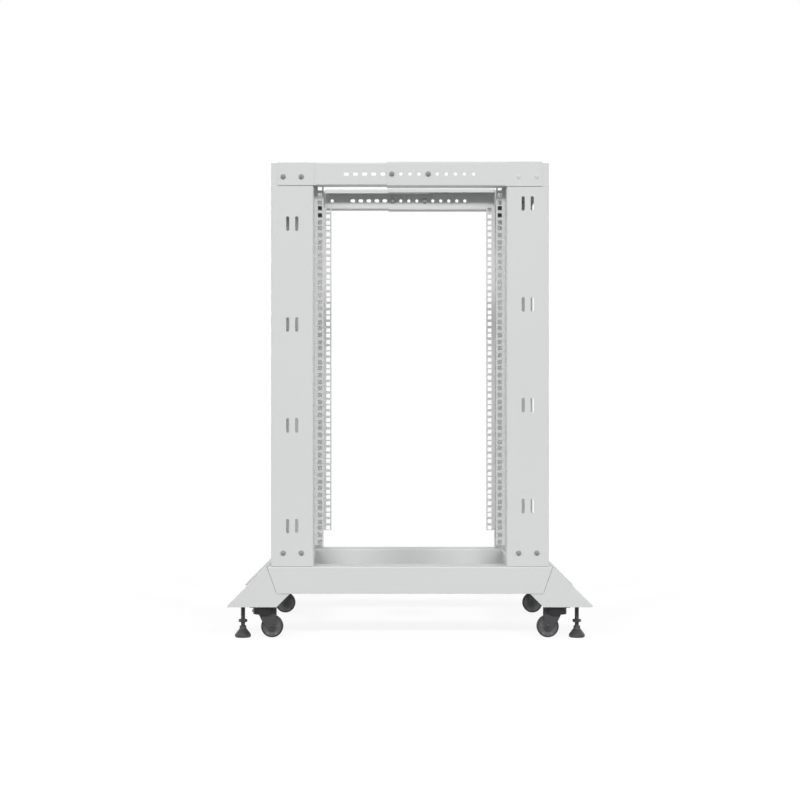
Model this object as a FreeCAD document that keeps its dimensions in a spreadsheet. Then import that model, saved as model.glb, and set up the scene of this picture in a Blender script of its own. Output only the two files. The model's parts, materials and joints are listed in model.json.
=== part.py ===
import FreeCAD, Part
import math
import os
import sys

import Sketcher
from FreeCAD import Placement, Rotation, Vector

# Four post open frame rack with telescoping top rails, outriggers, casters and levelling feet.
# Millimetres. +Z up, -X is the front of the rack, -Y its right side, origin on the floor under the middle.

doc = FreeCAD.newDocument("four_post_open_frame_rack")

# Driving dimensions, in millimetres. The rest is worked out from them.
sizes = {
    # Whole frame
    "frame_depth": 612,  # front to rear, over the rack flanges
    "frame_width": 550,  # side to side, over the post faces
    "sheet": 2,  # steel sheet of every folded part
    "bend_radius": 1,  # inside radius of a fold
    "joint_bolt_hole": 6.6,  # diameter of the clearance holes where parts are bolted
    "joint_bolt_spacing": 40,  # between the two bolts of a corner joint
    "joint_bolt_inset": 30,  # end of a post to its corner bolts
    # Rack hole pattern
    "rack_units": 18,  # number of rack units
    "unit_height": 44.45,  # height of one rack unit
    "blank_units": 1,  # plain units at each end of a post
    "rack_opening": 450,  # clear width between the rack flanges
    "rack_hole_span": 465.1,  # between the two columns of rack holes
    "rack_hole_side": 9.5,  # side of a square rack hole
    "rack_hole_edge": 6.35,  # unit boundary to the nearest rack hole
    "rack_hole_pitch": 15.875,  # between the rack holes of one unit
    # Post section
    "post_face_width": 93,  # side face of a post, over its folds
    "post_return_depth": 42,  # side face to the far face of the side flange
    "side_flange_width": 21,  # free width of the side flange
    "side_hole_inset": 8,  # edge of the side flange to its holes
    "face_slot_width": 7,  # width of the slots in the side face
    "face_slot_length": 32,  # length of the slots in the side face
    "face_slot_spacing": 20,  # between the two slots of a pair
    "face_slot_units": 5,  # rack units between slot pairs
    "face_slot_start": 2,  # rack units from the end of a post to the first slot pair
    "face_slot_pairs": 4,  # number of slot pairs in a post
    # Top rails and beams
    "rail_height": 54,  # height of the outer top rail
    "rail_depth": 40,  # outer top rail, web to lip
    "rail_lip": 10,  # lip of a top rail
    "rail_drop": 24,  # top of the posts to the middle of the top rails
    "rail_overlap": 102,  # length that the two top rails of a side share
    "rail_end_inset": 15,  # front face of the rack to the end of a top rail
    "rail_gap": 1,  # post to the folded part of a top rail
    "joggle_run": 4,  # length over which the inner rail steps outward
    "rail_hole": 8,  # diameter of the holes and width of the slots of the top rails
    "rail_slot_length": 12,  # length of the slots of the inner top rail
    "rail_pitch": 20,  # between the holes or slots of a top rail
    "rail_holes": 10,  # number of holes or slots in a top rail
    "rail_last_hole": 140,  # middle of the rack to the last hole of a top rail
    "earthing_hole_reach": 191.5,  # middle of the rack to the earthing hole of the left inner top rail
    "top_beam_width": 76,  # top beam, front leg to rear leg
    "top_beam_height": 44,  # height of a top beam
    # Base
    "base_clearance": 100,  # floor to the underside of the base rails
    "base_height": 60,  # height of the base rails and beams
    "base_rail_width": 72,  # width of a base side rail
    "base_overhang": 8.8,  # base beyond the rack's front and rear faces
    "base_end_slant": 21.2,  # set-back of a rail's web from its top to its lower edge
    "base_beam_width": 86,  # width of a base end beam
    "bracket_height": 44,  # height of the upstand inside a post's foot
    "bracket_depth": 36,  # leg of the upstand inside a post's foot
    # Outrigger with its caster and levelling foot
    "outrigger_reach": 97,  # rack's front face to the tip of an outrigger
    "outrigger_drop": 30,  # base rail's lower edge to the outrigger's underside
    "outrigger_tip": 3,  # height of the blunt tip
    "outrigger_tail": 41.5,  # rack's front face back to the outrigger's inner end
    "foot_reach": 65,  # rack's front face to the axis of the levelling foot
    "foot_stem": 10,  # diameter of the levelling foot's stem
    "foot_clearance": 0.5,  # stem to its hole, all round
    "foot_boss": 4,  # height of the threaded boss in the outrigger
    "foot_nut": 17,  # levelling nut across its flats
    "foot_nut_height": 7.4,  # height of the levelling nut
    "foot_nut_level": 34.6,  # floor to the levelling nut
    "foot_pad": 35.7,  # diameter of the levelling foot's pad
    "foot_pad_edge": 8,  # height of the pad's rim
    "foot_pad_chamfer": 2,  # lower edge of the pad's rim
    "foot_cone_top": 20,  # floor to the top of the pad's cone
    "foot_hub": 16.6,  # diameter of the pad's hub
    "foot_hub_top": 26,  # floor to the top of the pad's hub
    "caster_reach": 8.5,  # rack's front face to a caster's swivel axis
    "caster_trail": 8.5,  # swivel axis to axle
    "caster_plate_length": 57,  # caster's mounting plate, along the rack
    "caster_plate_width": 52,  # caster's mounting plate, across the rack
    "kingpin": 12,  # diameter of a caster's kingpin
    "kingpin_clearance": 0.3,  # swivel head to kingpin and to mounting plate
    "hood": 48,  # diameter of a caster's hood
    "hood_height": 15.6,  # height of a caster's hood
    "hood_wall": 3,  # wall and roof of a caster's hood
    "hood_offset": 9.5,  # swivel axis outward to the middle of the hood
    "fork_width": 30,  # over the fork's two legs
    "fork_leg": 3,  # thickness of a fork leg
    "fork_boss": 9,  # radius of the fork round the axle
    "fork_shoulder": 20.3,  # swivel axis outward to the leg's edge under the hood
    "fork_knee": 13.7,  # swivel axis outward to the leg's knee
    "fork_knee_rise": 13,  # axle up to the leg's knee
    "axle": 6,  # diameter of a caster's axle
    "axle_clearance": 0.05,  # wheel bore to axle, all round
    "wheel_radius": 24.5,  # radius of a caster's wheel
    "wheel_width": 19,  # width of a caster's wheel
    "tyre_chamfer": 2.5,  # rounding at the tyre's shoulders
    "hub_radius": 9,  # radius of the wheel's hub
    "hub_rim": 18,  # radius where the wheel's rim begins
    "hub_recess": 2,  # depth of the wheel's web below its sides
    "wheel_lift": 0.3,  # floor to the wheels while the levelling feet carry the rack
}

sheet_of_sizes = doc.addObject("Spreadsheet::Sheet", "Sizes")
for row, (alias, number) in enumerate(sizes.items(), 1):
    sheet_of_sizes.set(f"A{row}", alias.replace("_", " "))
    sheet_of_sizes.set(f"B{row}", str(number))
    sheet_of_sizes.setAlias(f"B{row}", alias)
doc.recompute()


class Size:
    """A measure in millimetres: its number, and the sheet expression that gives it."""

    def __init__(self, number, text=None):
        self.number = float(number)
        self.text = str(number) if text is None else text

    def __add__(self, other):
        other = size(other)
        return Size(self.number + other.number, f"({self.text} + {other.text})")

    def __sub__(self, other):
        other = size(other)
        return Size(self.number - other.number, f"({self.text} - {other.text})")

    def __mul__(self, other):
        other = size(other)
        return Size(self.number * other.number, f"({self.text} * {other.text})")

    def __truediv__(self, other):
        other = size(other)
        return Size(self.number / other.number, f"({self.text} / {other.text})")

    def __radd__(self, other):
        return size(other) + self

    def __rsub__(self, other):
        return size(other) - self

    def __rmul__(self, other):
        return size(other) * self

    def __neg__(self):
        return Size(-self.number, f"(0 - {self.text})")


def size(value):
    return value if isinstance(value, Size) else Size(value)


class DrivingDimensions:
    """Gives each driving dimension by its alias, as a Size."""

    def __getattr__(self, alias):
        return Size(sizes[alias], f"Sizes.{alias}")


dim = DrivingDimensions()

# Places that several parts share
frame_end = dim.frame_depth / 2
frame_side = dim.frame_width / 2
base_top = dim.base_clearance + dim.base_height
post_length = (dim.rack_units + 2 * dim.blank_units) * dim.unit_height
post_top = base_top + post_length
first_unit = dim.blank_units * dim.unit_height
outrigger_width = dim.base_rail_width - 2 * dim.sheet
outrigger_middle = frame_side - dim.base_rail_width / 2
foot_bracket_floor = dim.base_clearance - dim.outrigger_drop

SKETCH_NORMAL = {"XY_Plane": 1, "XZ_Plane": -1, "YZ_Plane": 1}
PATTERN_AXIS = {"x": "X_Axis", "y": "Y_Axis", "z": "Z_Axis"}

parts = []


def tie(thing, prop, measure):
    """Binds a property to its sheet expression."""
    thing.setExpression(prop, size(measure).text)


def origin_feature(body, role):
    return next(feature for feature in body.Origin.OriginFeatures if feature.Role == role)


def new_part(label, at, rotation=None):
    """A body with its own frame, placed from the sheet."""
    body = doc.addObject("PartDesign::Body", label)
    body.Label = label
    at = [size(measure) for measure in at]
    spin = Rotation() if rotation is None else rotation
    body.Placement = Placement(Vector(*(measure.number for measure in at)), spin)
    for letter, measure in zip("xyz", at):
        tie(body, f"Placement.Base.{letter}", measure)
    parts.append(body)
    return body


def half_turn(axis):
    return Rotation(Vector(*axis), 180)


class Outline:
    """A sketch on an origin plane of its body, with every point tied to the sheet."""

    def __init__(self, body, name, plane, height=0):
        self.body = body
        self.sketch = body.newObject("Sketcher::SketchObject", name)
        self.sketch.AttachmentSupport = [(origin_feature(body, plane), "")]
        self.sketch.MapMode = "FlatFace"
        offset = size(height) * SKETCH_NORMAL[plane]
        self.sketch.AttachmentOffset = Placement(Vector(0, 0, offset.number), Rotation())
        tie(self.sketch, "AttachmentOffset.Base.z", offset)

    def constrain(self, measure, kind, *where):
        """A dimensional constraint, bound to its measure."""
        measure = size(measure)
        index = self.sketch.addConstraint(Sketcher.Constraint(kind, *where, measure.number))
        tie(self.sketch, f"Constraints[{index}]", measure)

    def pin_point(self, geometry, point, x, y):
        self.constrain(x, "DistanceX", -1, 1, geometry, point)
        self.constrain(y, "DistanceY", -1, 1, geometry, point)

    def polygon(self, points):
        points = [(size(x), size(y)) for x, y in points]
        spots = [Vector(x.number, y.number, 0) for x, y in points]
        lines = [
            self.sketch.addGeometry(Part.LineSegment(spot, spots[(k + 1) % len(spots)]), False)
            for k, spot in enumerate(spots)
        ]
        for k, line in enumerate(lines):
            following = lines[(k + 1) % len(lines)]
            self.sketch.addConstraint(Sketcher.Constraint("Coincident", line, 2, following, 1))
        for line, (x, y) in zip(lines, points):
            self.pin_point(line, 1, x, y)

    def rectangle(self, left, low, right, high):
        self.polygon([(left, low), (right, low), (right, high), (left, high)])

    def circle(self, x, y, radius):
        x, y, radius = size(x), size(y), size(radius)
        round_shape = Part.Circle(Vector(x.number, y.number, 0), Vector(0, 0, 1), radius.number)
        index = self.sketch.addGeometry(round_shape, False)
        self.pin_point(index, 3, x, y)
        self.constrain(radius, "Radius", index)

    def slot(self, x, y, length, width, upright=False):
        """A slot with round ends, centred on x, y."""
        x, y, radius = size(x), size(y), size(width) / 2
        half = size(length) / 2 - radius
        along = Vector(0, 1, 0) if upright else Vector(1, 0, 0)
        across = Vector(-along.y, along.x, 0) * radius.number
        middle = Vector(x.number, y.number, 0)
        ends = [middle + along * half.number, middle - along * half.number]
        turn = math.pi / 2 if upright else 0.0
        arcs = []
        for end, start_angle in zip(ends, (turn - math.pi / 2, turn + math.pi / 2)):
            whole = Part.Circle(end, Vector(0, 0, 1), radius.number)
            arc = Part.ArcOfCircle(whole, start_angle, start_angle + math.pi)
            arcs.append(self.sketch.addGeometry(arc, False))
        sides = [
            self.sketch.addGeometry(Part.LineSegment(ends[0] + across, ends[1] + across), False),
            self.sketch.addGeometry(Part.LineSegment(ends[1] - across, ends[0] - across), False),
        ]
        ring = (arcs[0], sides[0], arcs[1], sides[1])
        for k, piece in enumerate(ring):
            following = ring[(k + 1) % len(ring)]
            self.sketch.addConstraint(Sketcher.Constraint("Tangent", piece, 2, following, 1))
        self.constrain(radius, "Radius", arcs[0])
        if upright:
            self.pin_point(arcs[0], 3, x, y + half)
            self.pin_point(arcs[1], 3, x, y - half)
        else:
            self.pin_point(arcs[0], 3, x + half, y)
            self.pin_point(arcs[1], 3, x - half, y)

    def feature(self, kind, name, length, symmetric, reverse):
        made = self.body.newObject(kind, name)
        made.Profile = self.sketch
        made.Length = size(length).number
        tie(made, "Length", length)
        made.Midplane = symmetric
        made.Reversed = reverse
        self.body.Tip = made
        return made

    def pad(self, name, length, symmetric=False, reverse=False):
        return self.feature("PartDesign::Pad", name, length, symmetric, reverse)

    def pocket(self, name, length, symmetric=True, reverse=False):
        """A cut that reaches half its length to each side of the sketch."""
        return self.feature("PartDesign::Pocket", name, length, symmetric, reverse)

    def revolve(self, name, axis):
        """A full turn about one of the sketch's own axes."""
        made = self.body.newObject("PartDesign::Revolution", name)
        made.Profile = self.sketch
        made.ReferenceAxis = (self.sketch, [axis])
        made.Angle = 360
        self.body.Tip = made
        return made


def repeat(body, name, feature, axis, pitch, count):
    """A row of copies of a feature, at a fixed pitch."""
    row = body.newObject("PartDesign::LinearPattern", name)
    row.Originals = [feature]
    row.Direction = (origin_feature(body, PATTERN_AXIS[axis]), [""])
    row.Mode = "Spacing"
    row.Offset = size(pitch).number
    tie(row, "Offset", pitch)
    row.Occurrences = int(size(count).number)
    tie(row, "Occurrences", count)
    body.Tip = row
    return row


def fold(body, name, feature, along, corners, radius):
    """Rounds the long straight edges of a pad that stand on the given points of its section."""
    doc.recompute()
    letters = [letter for letter in "xyz" if letter != along]
    wanted = [tuple(size(measure).number for measure in corner) for corner in corners]
    named = []
    for number, edge in enumerate(feature.Shape.Edges, 1):
        spots = set()
        for vertex in edge.Vertexes:
            spots.add(tuple(round(getattr(vertex.Point, letter), 3) for letter in letters))
        if len(spots) != 1 or edge.Length < 1:
            continue
        spot = spots.pop()
        if any(math.dist(spot, corner) < 0.01 for corner in wanted):
            named.append(f"Edge{number}")
    rounded = body.newObject("PartDesign::Fillet", name)
    rounded.Base = (feature, named)
    rounded.Radius = size(radius).number
    tie(rounded, "Radius", radius)
    body.Tip = rounded
    return rounded


def bend(body, feature, along, outer, inner):
    """Both radii of a fold: the sheet's outside and its inside."""
    outside = fold(body, "fold_outside", feature, along, outer, dim.bend_radius + dim.sheet)
    return fold(body, "fold_inside", outside, along, inner, dim.bend_radius)


def post(label, at, rotation=None):
    """One folded post: rack flange, side face, return and perforated side flange.

    Local x runs in from the rack's end face, y in from the side face, z along the post.
    """
    body = new_part(label, at, rotation)
    rack_flange = (dim.frame_width - dim.rack_opening) / 2
    flange_far = dim.post_face_width + dim.side_flange_width
    return_inner = dim.post_face_width - dim.sheet
    flange_near = dim.post_return_depth - dim.sheet

    section = Outline(body, "section", "XY_Plane")
    section.polygon([
        (0, 0),
        (dim.post_face_width, 0),
        (dim.post_face_width, flange_near),
        (flange_far, flange_near),
        (flange_far, dim.post_return_depth),
        (return_inner, dim.post_return_depth),
        (return_inner, dim.sheet),
        (dim.sheet, dim.sheet),
        (dim.sheet, rack_flange),
        (0, rack_flange),
    ])
    strip = section.pad("strip", post_length)
    bend(
        body,
        strip,
        "z",
        [(0, 0), (dim.post_face_width, 0), (return_inner, dim.post_return_depth)],
        [(dim.sheet, dim.sheet), (return_inner, dim.sheet), (dim.post_face_width, flange_near)],
    )

    # The side flange stops one blank length short of each end
    notches = Outline(body, "side_flange_ends", "XZ_Plane", dim.post_return_depth - dim.sheet / 2)
    notches.rectangle(dim.post_face_width, -1, flange_far + 1, first_unit)
    notches.rectangle(dim.post_face_width, post_length - first_unit, flange_far + 1, post_length + 1)
    notches.pocket("side_flange_notches", 4 * (dim.sheet + dim.bend_radius))

    # Three square holes to each rack unit, in the rack flange and in the side flange
    unit_levels = [
        first_unit + dim.rack_hole_edge,
        first_unit + dim.rack_hole_edge + dim.rack_hole_pitch,
        first_unit + dim.rack_hole_edge + 2 * dim.rack_hole_pitch,
    ]
    columns = (
        ("rack", "YZ_Plane", dim.sheet / 2, frame_side - dim.rack_hole_span / 2),
        ("side", "XZ_Plane", dim.post_return_depth - dim.sheet / 2, flange_far - dim.side_hole_inset),
    )
    half = dim.rack_hole_side / 2
    for column, plane, height, across in columns:
        holes = Outline(body, f"{column}_holes", plane, height)
        for level in unit_levels:
            holes.rectangle(across - half, level - half, across + half, level + half)
        cut = holes.pocket(f"{column}_hole_cut", 2 * dim.sheet)
        repeat(body, f"{column}_hole_row", cut, "z", dim.unit_height, dim.rack_units)

    # Slot pairs and corner bolt holes in the side face
    face_middle = dim.post_face_width / 2
    slots = Outline(body, "face_slots", "XZ_Plane", dim.sheet / 2)
    slot_level = dim.face_slot_start * dim.unit_height
    for offset in (dim.face_slot_spacing / 2, -dim.face_slot_spacing / 2):
        slots.slot(face_middle + offset, slot_level, dim.face_slot_length, dim.face_slot_width, True)
    slot_cut = slots.pocket("face_slot_cut", 2 * dim.sheet)
    repeat(body, "face_slot_row", slot_cut, "z", dim.face_slot_units * dim.unit_height, dim.face_slot_pairs)
    bolts = Outline(body, "corner_bolts", "XZ_Plane", dim.sheet / 2)
    for level in (dim.joint_bolt_inset, post_length - dim.joint_bolt_inset):
        for offset in (dim.joint_bolt_spacing / 2, -dim.joint_bolt_spacing / 2):
            bolts.circle(face_middle + offset, level, dim.joint_bolt_hole / 2)
    bolts.pocket("corner_bolt_holes", 2 * dim.sheet)


def lipped_channel(height, depth):
    """The corner points of a lipped channel that opens inward, its web on the line of depth 0."""
    top = height / 2
    return [
        (0, -top),
        (depth, -top),
        (depth, dim.rail_lip - top),
        (depth - dim.sheet, dim.rail_lip - top),
        (depth - dim.sheet, dim.sheet - top),
        (dim.sheet, dim.sheet - top),
        (dim.sheet, top - dim.sheet),
        (depth - dim.sheet, top - dim.sheet),
        (depth - dim.sheet, top - dim.rail_lip),
        (depth, top - dim.rail_lip),
        (depth, top),
        (0, top),
    ]


def top_rail(label, side, outer):
    """One of the two telescoping rails of a side.

    Local x is the rack's, y runs in from the post's side face, z up or down from the rail's middle.
    The outer rail reaches back to the rear post, the inner one forward to the front post.
    """
    rotation = half_turn((1, 0, 0)) if side > 0 else None
    body = new_part(label, (0, side * frame_side, post_top - dim.rail_drop), rotation)
    height = dim.rail_height if outer else dim.rail_height - 2 * dim.sheet
    depth = dim.rail_depth if outer else dim.rail_depth - 2 * dim.sheet
    web_face = -dim.sheet if outer else size(0)
    ear_end = frame_end - dim.rail_end_inset
    channel_end = frame_end - dim.post_face_width - dim.rail_gap
    inner_end = -dim.rail_overlap / 2

    # The channel, between the posts
    run_start = inner_end if outer else dim.joggle_run - channel_end
    run_end = channel_end if outer else dim.rail_overlap / 2
    section = Outline(body, "section", "YZ_Plane", run_start)
    section.polygon([(web_face + y, z) for y, z in lipped_channel(height, depth)])
    channel = section.pad("channel", run_end - run_start)
    top = height / 2
    inside = top - dim.sheet
    outer_corners = [(web_face + y, z) for y in (0, depth) for z in (top, -top)]
    inner_corners = [(web_face + y, z) for y in (dim.sheet, depth - dim.sheet) for z in (inside, -inside)]
    bend(body, channel, "x", outer_corners, inner_corners)

    # The flat ear that laps the post; the inner rail's steps out over the post's face
    ear = Outline(body, "ear_outline", "XY_Plane", -top)
    if outer:
        ear.rectangle(run_end - 1, -dim.sheet, ear_end, 0)
    else:
        step = dim.sheet / 4
        ear.polygon([
            (-ear_end, -dim.sheet),
            (-channel_end, -dim.sheet),
            (run_start, 0),
            (run_start + 1, 0),
            (run_start + 1, dim.sheet),
            (run_start - step, dim.sheet),
            (-channel_end - step, 0),
            (-ear_end, 0),
        ])
    ear.pad("ear", height)

    # Adjusting holes along the middle, then the bolts of the corner
    if outer:
        holes = Outline(body, "adjusting_hole", "XZ_Plane", web_face + dim.sheet / 2)
        holes.circle(dim.rail_last_hole - (dim.rail_holes - 1) * dim.rail_pitch, 0, dim.rail_hole / 2)
    else:
        holes = Outline(body, "adjusting_slot", "XZ_Plane", web_face + dim.sheet / 2)
        holes.slot(-dim.rail_last_hole, 0, dim.rail_slot_length, dim.rail_hole)
    cut = holes.pocket("adjusting_cut", 2 * dim.sheet)
    repeat(body, "adjusting_row", cut, "x", dim.rail_pitch, dim.rail_holes)
    if side > 0 and not outer:
        earthing = Outline(body, "earthing_hole", "XZ_Plane", web_face + dim.sheet / 2)
        earthing.circle(-dim.earthing_hole_reach, 0, dim.rail_hole / 2)
        earthing.pocket("earthing_cut", 2 * dim.sheet)
    bolts = Outline(body, "corner_bolts", "XZ_Plane", -dim.sheet / 2)
    post_middle = frame_end - dim.post_face_width / 2
    for offset in (dim.joint_bolt_spacing / 2, -dim.joint_bolt_spacing / 2):
        middle = (1 if outer else -1) * post_middle + offset
        bolts.circle(middle, side * (dim.joint_bolt_inset - dim.rail_drop), dim.joint_bolt_hole / 2)
    bolts.pocket("corner_bolt_holes", 2 * dim.sheet)


def top_beam(label, end):
    """The folded tray between two posts of one end, open underneath. Local x runs outward."""
    rotation = half_turn((0, 0, 1)) if end < 0 else None
    body = new_part(label, (end * (frame_end - dim.sheet), 0, post_top - dim.top_beam_height), rotation)
    half = frame_side - dim.sheet
    block = Outline(body, "plan", "XY_Plane")
    block.rectangle(-dim.top_beam_width, -half, 0, half)
    block.pad("block", dim.top_beam_height)
    inner_leg = dim.sheet - dim.top_beam_width
    inside = dim.top_beam_height - dim.sheet
    hollow = Outline(body, "hollow_plan", "XY_Plane")
    hollow.rectangle(inner_leg, dim.sheet - half, -dim.sheet, half - dim.sheet)
    carved = hollow.pocket("hollow", 2 * inside)
    bend(
        body,
        carved,
        "y",
        [(-dim.top_beam_width, dim.top_beam_height), (0, dim.top_beam_height)],
        [(inner_leg, inside), (-dim.sheet, inside)],
    )
    bolts = Outline(body, "corner_bolts", "XZ_Plane")
    post_middle = dim.sheet - dim.post_face_width / 2
    bolt_level = dim.top_beam_height - dim.joint_bolt_inset
    for offset in (dim.joint_bolt_spacing / 2, -dim.joint_bolt_spacing / 2):
        bolts.circle(post_middle + offset, bolt_level, dim.joint_bolt_hole / 2)
    bolts.pocket("corner_bolt_holes", dim.frame_width)
    # Cut corners, which clear the inside bends of the posts
    relief = Outline(body, "corner_relief_outline", "XY_Plane")
    for way in (1, -1):
        relief.polygon([(0, way * half), (-dim.bend_radius, way * half), (0, way * (half - dim.bend_radius))])
    relief.pocket("corner_relief", 2 * dim.top_beam_height)


def channel_section(outline, width, height):
    """An inverted channel standing on its two webs, from across 0 to across width."""
    outline.polygon([
        (0, 0),
        (0, height),
        (width, height),
        (width, 0),
        (width - dim.sheet, 0),
        (width - dim.sheet, height - dim.sheet),
        (dim.sheet, height - dim.sheet),
        (dim.sheet, 0),
    ])


def channel_bends(body, feature, along, width, height):
    return bend(
        body,
        feature,
        along,
        [(0, height), (width, height)],
        [(dim.sheet, height - dim.sheet), (width - dim.sheet, height - dim.sheet)],
    )


def base_rail(label, side):
    """A base side rail with slanted web ends. Local y runs in from the side face, z up from its foot."""
    rotation = half_turn((0, 0, 1)) if side > 0 else None
    body = new_part(label, (0, side * frame_side, dim.base_clearance), rotation)
    half_length = frame_end + dim.base_overhang
    section = Outline(body, "section", "YZ_Plane")
    channel_section(section, dim.base_rail_width, dim.base_height)
    channel = section.pad("channel", 2 * half_length, symmetric=True)
    channel_bends(body, channel, "x", dim.base_rail_width, dim.base_height)

    slant_low = half_length - dim.base_end_slant
    past_end = half_length + 1
    slants = Outline(body, "end_slants", "XZ_Plane")
    for end in (1, -1):
        slants.polygon([
            (end * half_length, dim.base_height),
            (end * slant_low, 0),
            (end * slant_low, -1),
            (end * past_end, -1),
            (end * past_end, dim.base_height),
        ])
    slants.pocket("slanted_ends", 2 * dim.base_rail_width + 2)


def base_beam(label, end):
    """A base end beam between the two side rails. Local x runs in from its outer web."""
    rotation = half_turn((0, 0, 1)) if end > 0 else None
    body = new_part(label, (end * (frame_end + dim.base_overhang), 0, dim.base_clearance), rotation)
    section = Outline(body, "section", "XZ_Plane")
    channel_section(section, dim.base_beam_width, dim.base_height)
    channel = section.pad("channel", dim.frame_width - 2 * dim.base_rail_width, symmetric=True)
    channel_bends(body, channel, "y", dim.base_beam_width, dim.base_height)


def post_bracket(label, end, side):
    """The upstand that a post's foot is bolted to. Local y runs in from the post's side face."""
    rotation = half_turn((0, 0, 1)) if side > 0 else None
    middle = frame_end - dim.post_face_width / 2
    body = new_part(label, (end * middle, side * frame_side, base_top), rotation)
    half = dim.post_face_width / 2 - dim.sheet
    far = dim.sheet + dim.bracket_depth
    section = Outline(body, "section", "XY_Plane")
    section.polygon([
        (-half, dim.sheet),
        (half, dim.sheet),
        (half, far),
        (half - dim.sheet, far),
        (half - dim.sheet, 2 * dim.sheet),
        (dim.sheet - half, 2 * dim.sheet),
        (dim.sheet - half, far),
        (-half, far),
    ])
    strip = section.pad("strip", dim.bracket_height)
    bend(
        body,
        strip,
        "z",
        [(-half, dim.sheet), (half, dim.sheet)],
        [(dim.sheet - half, 2 * dim.sheet), (half - dim.sheet, 2 * dim.sheet)],
    )
    bolts = Outline(body, "corner_bolts", "XZ_Plane", 1.5 * dim.sheet)
    for offset in (dim.joint_bolt_spacing / 2, -dim.joint_bolt_spacing / 2):
        bolts.circle(offset, dim.joint_bolt_inset, dim.joint_bolt_hole / 2)
    bolts.pocket("corner_bolt_holes", 2 * dim.sheet)


def foot_bracket(label, end, side):
    """An outrigger: two side plates nested in the rail's end, with a floor and a sloping top plate.

    Local x runs outward from the rack's end face, z up from the rail's lower edge.
    """
    rotation = half_turn((0, 0, 1)) if end < 0 else None
    body = new_part(label, (end * frame_end, side * outrigger_middle, dim.base_clearance), rotation)
    apex = dim.base_height - dim.sheet - dim.bend_radius
    tip_level = dim.outrigger_tip - dim.outrigger_drop
    profile = Outline(body, "profile", "XZ_Plane")
    profile.polygon([
        (dim.outrigger_drop - dim.outrigger_tail, -dim.outrigger_drop),
        (dim.outrigger_reach, -dim.outrigger_drop),
        (dim.outrigger_reach, tip_level),
        (dim.outrigger_reach - (apex - tip_level), apex),
        (-dim.outrigger_tail, apex),
        (-dim.outrigger_tail, 0),
    ])
    profile.pad("block", outrigger_width, symmetric=True)

    # Hollow between the side plates, over the floor and under the plate that slopes at 45 degrees
    floor = dim.sheet - dim.outrigger_drop
    above = apex + dim.sheet
    slope_inside = dim.outrigger_reach + tip_level - dim.sheet * math.sqrt(2)
    hollow = Outline(body, "hollow_profile", "XZ_Plane")
    hollow.polygon([
        (-dim.outrigger_tail - 1, floor),
        (slope_inside - floor, floor),
        (slope_inside - above, above),
        (-dim.outrigger_tail - 1, above),
    ])
    hollow.pocket("hollow", outrigger_width - 2 * dim.sheet)

    # Threaded boss of the levelling foot, and the hole down through the floor
    boss = Outline(body, "boss_outline", "XY_Plane", floor)
    boss.circle(dim.foot_reach, 0, dim.foot_nut / 2)
    boss.pad("boss", dim.foot_boss)
    bore = Outline(body, "stem_hole_outline", "XY_Plane", floor)
    bore.circle(dim.foot_reach, 0, dim.foot_stem / 2 + dim.foot_clearance)
    bore.pocket("stem_hole", 2 * (dim.foot_boss + 1))


def levelling_stem(label, end, side):
    """The threaded stem of a levelling foot, with the nut that turns it. Local z is up from the floor."""
    place = (end * (frame_end + dim.foot_reach), side * outrigger_middle, 0)
    body = new_part(label, place)
    radius = dim.foot_stem / 2
    top = foot_bracket_floor + dim.sheet + dim.foot_boss
    rod = Outline(body, "rod_profile", "XZ_Plane")
    rod.polygon([
        (0, dim.foot_cone_top),
        (radius, dim.foot_cone_top),
        (radius, top),
        (0, top),
    ])
    rod.revolve("rod", "V_Axis")
    nut = Outline(body, "nut_outline", "XY_Plane", dim.foot_nut_level)
    corner = dim.foot_nut / math.sqrt(3)
    angles = [math.radians(60 * k) for k in range(6)]
    nut.polygon([(corner * round(math.cos(a), 9), corner * round(math.sin(a), 9)) for a in angles])
    nut.pad("nut", dim.foot_nut_height)


def levelling_pad(label, end, side):
    """The pad of a levelling foot: a rim, a cone and a hub that holds the stem."""
    place = (end * (frame_end + dim.foot_reach), side * outrigger_middle, 0)
    body = new_part(label, place)
    rim, hub = dim.foot_pad / 2, dim.foot_hub / 2
    socket = dim.foot_stem / 2
    profile = Outline(body, "profile", "XZ_Plane")
    profile.polygon([
        (0, 0),
        (rim - dim.foot_pad_chamfer, 0),
        (rim, dim.foot_pad_chamfer),
        (rim, dim.foot_pad_edge),
        (hub, dim.foot_cone_top),
        (hub, dim.foot_hub_top),
        (socket, dim.foot_hub_top),
        (socket, dim.foot_cone_top),
        (0, dim.foot_cone_top),
    ])
    profile.revolve("pad", "V_Axis")


def caster_part(label, end, side, height):
    """A caster's body, with local x outward from the swivel axis."""
    rotation = half_turn((0, 0, 1)) if end < 0 else None
    return new_part(label, (end * (frame_end + dim.caster_reach), side * outrigger_middle, height), rotation)


def caster_plate_with_kingpin(label, end, side):
    """The plate under the outrigger, with the kingpin riveted into it. Local z is up from its top."""
    body = caster_part(label, end, side, foot_bracket_floor)
    inner = dim.caster_trail + dim.fork_boss
    outer = dim.caster_plate_length - inner
    half = dim.caster_plate_width / 2
    plan = Outline(body, "plan", "XY_Plane", -dim.sheet)
    plan.rectangle(-inner, -half, outer, half)
    plan.pad("plate", dim.sheet)
    pin = Outline(body, "kingpin_profile", "XZ_Plane")
    roof_low = -dim.sheet - dim.kingpin_clearance - dim.hood_wall
    head_high = roof_low - dim.kingpin_clearance
    head_low = head_high - dim.sheet
    radius = dim.kingpin / 2
    head_radius = radius + dim.sheet
    pin.polygon([
        (0, -dim.sheet),
        (radius, -dim.sheet),
        (radius, head_high),
        (head_radius, head_high),
        (head_radius, head_low),
        (0, head_low),
    ])
    pin.revolve("kingpin", "V_Axis")


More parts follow.
